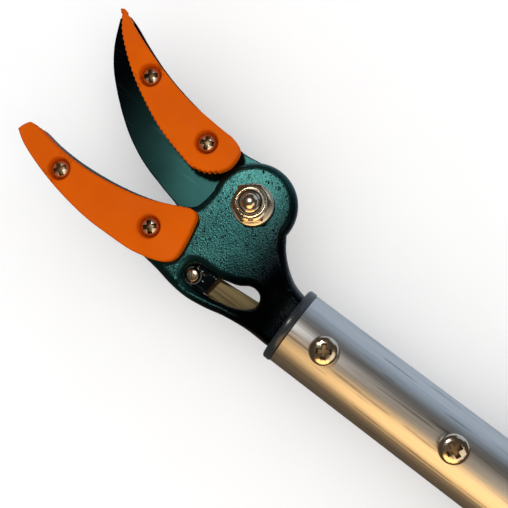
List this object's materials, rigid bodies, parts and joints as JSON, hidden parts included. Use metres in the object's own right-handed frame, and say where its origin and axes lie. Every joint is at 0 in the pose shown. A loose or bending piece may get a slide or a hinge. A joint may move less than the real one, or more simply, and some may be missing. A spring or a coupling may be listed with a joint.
{
  "type": "telescoping pole pruner",
  "caption": "Long-reach cut-and-hold pruner: curved bypass blade and fixed hook with grip pads on a telescoping aluminium pole, closed by a trigger in the handle.",
  "frame": {"origin": "centre of the flat end face of the handle's butt cap, on the axis of the pole", "axes": "+X along the pole toward the cutting head, +Y to the side of the fixed hook and the trigger bar, +Z to the front, where the pivot nut is; the tool lies on its back, resting on z = -0.0195"},
  "size_m": [0.8364, 0.1269, 0.0442],
  "materials": {
    "casting_paint": "dark teal hammered paint on cast steel, fine pits",
    "blade_paint": "smooth dark teal non-stick paint",
    "orange_grip": "satin orange grip pad with fine teeth",
    "nickel": "bright nickel plate",
    "steel": "zinc plated steel",
    "brass_strap": "yellow zinc plate, rubbed and oily",
    "plug_plastic": "glossy dark grey",
    "aluminium": "satin drawn tube, lengthwise grain, light scratches",
    "black_plastic": "fine grained black nylon",
    "orange_plastic": "satin orange nylon",
    "foam": "closed cell foam"
  },
  "bodies": {
    "handle": {"lower_tube": "aluminium", "slide_bush": "black_plastic", "lock_collar": "black_plastic", "lock_bolt": "nickel", "lock_nut": "nickel", "lock_lever_pin": "steel", "fore_grip": "foam", "handle_shell_front": "black_plastic", "handle_shell_rear": "black_plastic", "handle_screw_1": "nickel", "handle_screw_2": "nickel", "handle_screw_3": "nickel", "handle_screw_4": "nickel", "trigger_pin": "steel", "latch_pin": "steel", "end_cap": "black_plastic", "spring_seat": "black_plastic", "spring_seat_pin": "steel", "return_spring": "steel"},
    "head_section": {"head_casting": "casting_paint", "hook_grip_pad": "orange_grip", "hook_pad_screw_1": "nickel", "hook_pad_screw_2": "nickel", "pivot_bolt": "nickel", "pivot_bush": "brass_strap", "pivot_rear_washer": "nickel", "pivot_washer": "nickel", "pivot_nut": "nickel", "tube_plug": "plug_plastic", "head_screw_1": "nickel", "head_screw_2": "nickel", "upper_tube": "aluminium", "tail_bush": "black_plastic"},
    "blade": {"cutting_blade": "blade_paint", "blade_grip_pad": "orange_grip", "blade_pad_screw_1": "nickel", "blade_pad_screw_2": "nickel", "link_pin": "steel", "link_pin_clip": "steel"},
    "strap": {"pull_strap": "brass_strap"},
    "pull_rod": {"inner_pull_rod": "steel", "rod_clevis": "steel", "clevis_pin": "steel"},
    "pull_tube": {"outer_pull_tube": "aluminium", "clutch_housing": "steel", "clutch_plate": "steel", "clutch_spring": "steel", "shuttle": "black_plastic", "shuttle_pin": "steel", "shuttle_roll_pin": "steel"},
    "trigger": {"trigger": "orange_plastic"},
    "lock_lever": {"lock_lever": "orange_plastic"},
    "latch": {"latch": "orange_plastic"}
  },
  "joints": [
    {"name": "pole_extension", "type": "slide", "parent": "handle", "child": "head_section", "axis": [1, 0, 0], "range_m": [0, 0.35]},
    {"name": "trigger_squeeze", "type": "hinge", "parent": "handle", "child": "trigger", "pos_m": [0.16, -0.027, 0], "axis": [0, 0, 1], "range_deg": [0, 28.07], "stiffness_Nm_per_rad": 1, "springref_deg": -28.65},
    {"name": "lock_lever_flip", "type": "hinge", "parent": "handle", "child": "lock_lever", "pos_m": [0.633, -0.025, 0.0162], "axis": [1, 0, 0], "range_deg": [0, 110]},
    {"name": "latch_swing", "type": "hinge", "parent": "handle", "child": "latch", "pos_m": [0.036, 0.011, 0], "axis": [0, 0, -1], "range_deg": [0, 90]},
    {"name": "blade_close", "type": "hinge", "parent": "head_section", "child": "blade", "pos_m": [0.7683, -0.0208, -0.0015], "axis": [0, 0, 1], "range_deg": [0, 32.01]},
    {"name": "strap_swing", "type": "hinge", "parent": "blade", "child": "strap", "pos_m": [0.7708, 0.0053, -0.0044], "axis": [0, 0, -1], "range_deg": [0, 34.49]},
    {"name": "pull_rod_slide", "type": "slide", "parent": "head_section", "child": "pull_rod", "axis": [-1, 0, 0], "range_m": [0, 0.0144]},
    {"name": "pull_tube_slide", "type": "slide", "parent": "handle", "child": "pull_tube", "axis": [-1, 0, 0], "range_m": [0, 0.0144], "deforming": ["return_spring"]}
  ],
  "couplings": [
    {"joint": "blade_close", "follows": "trigger_squeeze", "ratio": 1.1399},
    {"joint": "strap_swing", "follows": "trigger_squeeze", "ratio": 1.2284},
    {"joint": "pull_rod_slide", "follows": "trigger_squeeze", "m_per_rad": 0.02939},
    {"joint": "pull_tube_slide", "follows": "trigger_squeeze", "m_per_rad": 0.02939}
  ]
}
